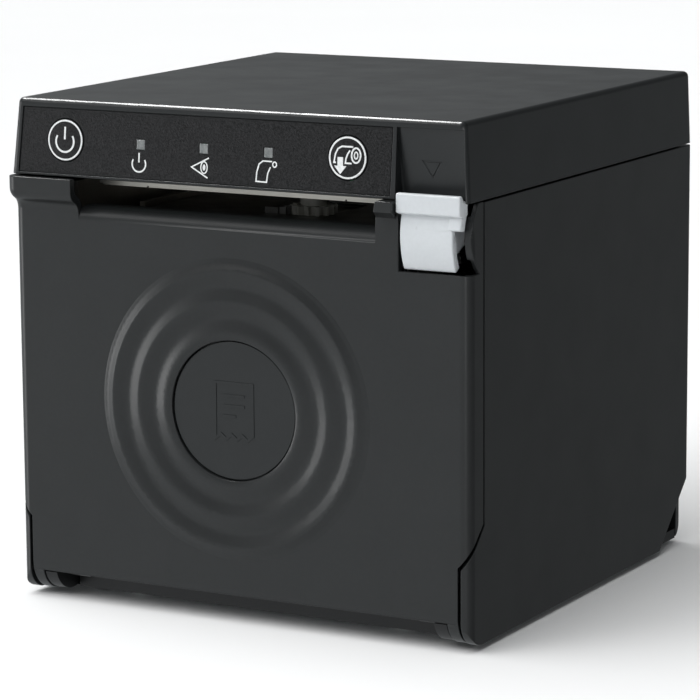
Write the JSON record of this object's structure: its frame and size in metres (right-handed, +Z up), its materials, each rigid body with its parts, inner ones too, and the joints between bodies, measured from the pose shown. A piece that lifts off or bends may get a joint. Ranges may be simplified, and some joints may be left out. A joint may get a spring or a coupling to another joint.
{
  "type": "receipt printer",
  "caption": "Cube-shaped desktop thermal receipt printer with a drop-down front door, paper slot above it, release lever, sloping control strip and rear sockets.",
  "frame": {"origin": "on the table, under the middle of the printer", "axes": "+Z up, -Y the front with the door and control strip, +X to the right seen from the front"},
  "size_m": [0.1352, 0.1412, 0.135],
  "materials": {
    "case_plastic": "satin, very fine grain",
    "cover_plastic": "satin, very fine grain",
    "black_plastic": "matt",
    "label_film": "textured film with light symbols",
    "lamp_plastic": "cloudy, unlit",
    "lever_plastic": "satin, pale grey",
    "pale_plastic": "natural nylon or acetal",
    "foot_rubber": "matt",
    "roller_rubber": "ground, matt",
    "sheet_steel": "zinc-plated sheet",
    "blade_steel": "ground",
    "shaft_steel": "turned",
    "screw_steel": "zinc-plated",
    "motor_steel": "drawn can",
    "sink_aluminium": "extruded",
    "head_ceramic": "glazed strip",
    "board_laminate": "green laminate",
    "chip_plastic": "moulded packages",
    "port_plastic": "moulded sockets",
    "port_steel": "tinned shell",
    "cable_film": "flat flexible cable",
    "brass": "machined"
  },
  "bodies": {
    "case": {"body_shell": "case_plastic", "base_plate": "black_plastic", "front_feet": "foot_rubber", "rear_feet": "foot_rubber", "top_cover": "cover_plastic", "control_label": "label_film", "lamp_lenses": "lamp_plastic", "control_board": "board_laminate", "key_switches": "chip_plastic", "status_lamps": "lamp_plastic", "hinge_pins": "shaft_steel", "idler_axle": "shaft_steel", "feed_motor": "motor_steel", "mechanism_frame": "sheet_steel", "cutter_cover": "sheet_steel", "cutter_base": "sheet_steel", "cutter_motor": "motor_steel", "motor_bracket": "sheet_steel", "head_bracket": "sheet_steel", "head_pivot_rod": "shaft_steel", "head_springs": "shaft_steel", "lever_pin": "shaft_steel", "lever_spring": "shaft_steel", "paper_bucket": "black_plastic", "paper_end_sensor": "chip_plastic", "main_board": "board_laminate", "board_parts": "chip_plastic", "interface_panel": "sheet_steel", "power_inlet": "port_plastic", "drawer_port": "port_plastic", "serial_port": "port_steel", "usb_port": "port_plastic", "network_port": "port_plastic", "ribbon_cable": "cable_film", "cover_switch": "chip_plastic", "base_screws": "screw_steel", "frame_screws": "screw_steel", "panel_screws": "screw_steel"},
    "front_door": {"door_cover": "case_plastic", "door_disc": "cover_plastic", "door_inner_frame": "black_plastic", "platen_bracket": "sheet_steel", "latch_pin": "shaft_steel", "platen_bushes": "pale_plastic", "fixed_blade": "blade_steel", "exit_guide": "black_plastic", "door_screws": "screw_steel"},
    "platen": {"platen_shaft": "shaft_steel", "platen_rubber": "roller_rubber", "platen_gear": "pale_plastic"},
    "idler": {"idler_gear": "pale_plastic"},
    "feed_pinion": {"motor_pinion": "brass"},
    "cutter_gear": {"cutter_gear": "pale_plastic"},
    "cutter_pinion": {"cutter_pinion": "brass"},
    "moving_blade": {"moving_blade": "blade_steel"},
    "print_head": {"head_ceramic": "head_ceramic", "head_heat_sink": "sink_aluminium"},
    "lever": {"release_lever": "lever_plastic"},
    "power_button": {"power_button": "black_plastic"},
    "feed_button": {"feed_button": "black_plastic"}
  },
  "joints": [
    {"name": "door_hinge", "type": "hinge", "parent": "case", "child": "front_door", "pos_m": [0, -0.0584, 0.0098], "axis": [1, 0, 0], "range_deg": [0, 85]},
    {"name": "platen_spin", "type": "hinge", "parent": "front_door", "child": "platen", "pos_m": [-0.003, -0.04845, 0.0945], "axis": [1, 0, 0], "continuous": true},
    {"name": "idler_spin", "type": "hinge", "parent": "case", "child": "idler", "pos_m": [-0.0507, -0.03095, 0.09266], "axis": [1, 0, 0], "continuous": true},
    {"name": "pinion_spin", "type": "hinge", "parent": "case", "child": "feed_pinion", "pos_m": [-0.0507, -0.02416, 0.08181], "axis": [1, 0, 0], "continuous": true},
    {"name": "head_tilt", "type": "hinge", "parent": "case", "child": "print_head", "pos_m": [-0.003, -0.03945, 0.0804], "axis": [1, 0, 0], "range_deg": [-1.5, 0], "stiffness_Nm_per_rad": 5, "springref_deg": 0.57},
    {"name": "lever_press", "type": "hinge", "parent": "case", "child": "lever", "pos_m": [0.056, -0.05325, 0.106], "axis": [1, 0, 0], "range_deg": [0, 20], "stiffness_Nm_per_rad": 0.15, "springref_deg": -11.46},
    {"name": "power_press", "type": "slide", "parent": "case", "child": "power_button", "axis": [0, 0.9974, -0.072], "range_m": [0, 0.0008], "stiffness_N_per_m": 900, "springref_m": -0.0006},
    {"name": "feed_press", "type": "slide", "parent": "case", "child": "feed_button", "axis": [0, 0.9974, -0.072], "range_m": [0, 0.0008], "stiffness_N_per_m": 900, "springref_m": -0.0006},
    {"name": "cutter_turn", "type": "hinge", "parent": "case", "child": "cutter_gear", "pos_m": [0, -0.025, 0.11], "axis": [0, 0, 1], "range_deg": [0, 92.1]},
    {"name": "blade_slide", "type": "slide", "parent": "case", "child": "moving_blade", "axis": [0, -1, 0], "range_m": [0, 0.009]},
    {"name": "cutter_pinion_turn", "type": "hinge", "parent": "case", "child": "cutter_pinion", "pos_m": [0.012, -0.025, 0.118], "axis": [0, 0, 1], "range_deg": [-276.3, 0]}
  ],
  "couplings": [
    {"joint": "idler_spin", "follows": "platen_spin", "ratio": -1.2},
    {"joint": "pinion_spin", "follows": "platen_spin", "ratio": 2},
    {"joint": "cutter_turn", "follows": "blade_slide", "rad_per_m": 178.57},
    {"joint": "cutter_pinion_turn", "follows": "blade_slide", "rad_per_m": -535.71}
  ]
}
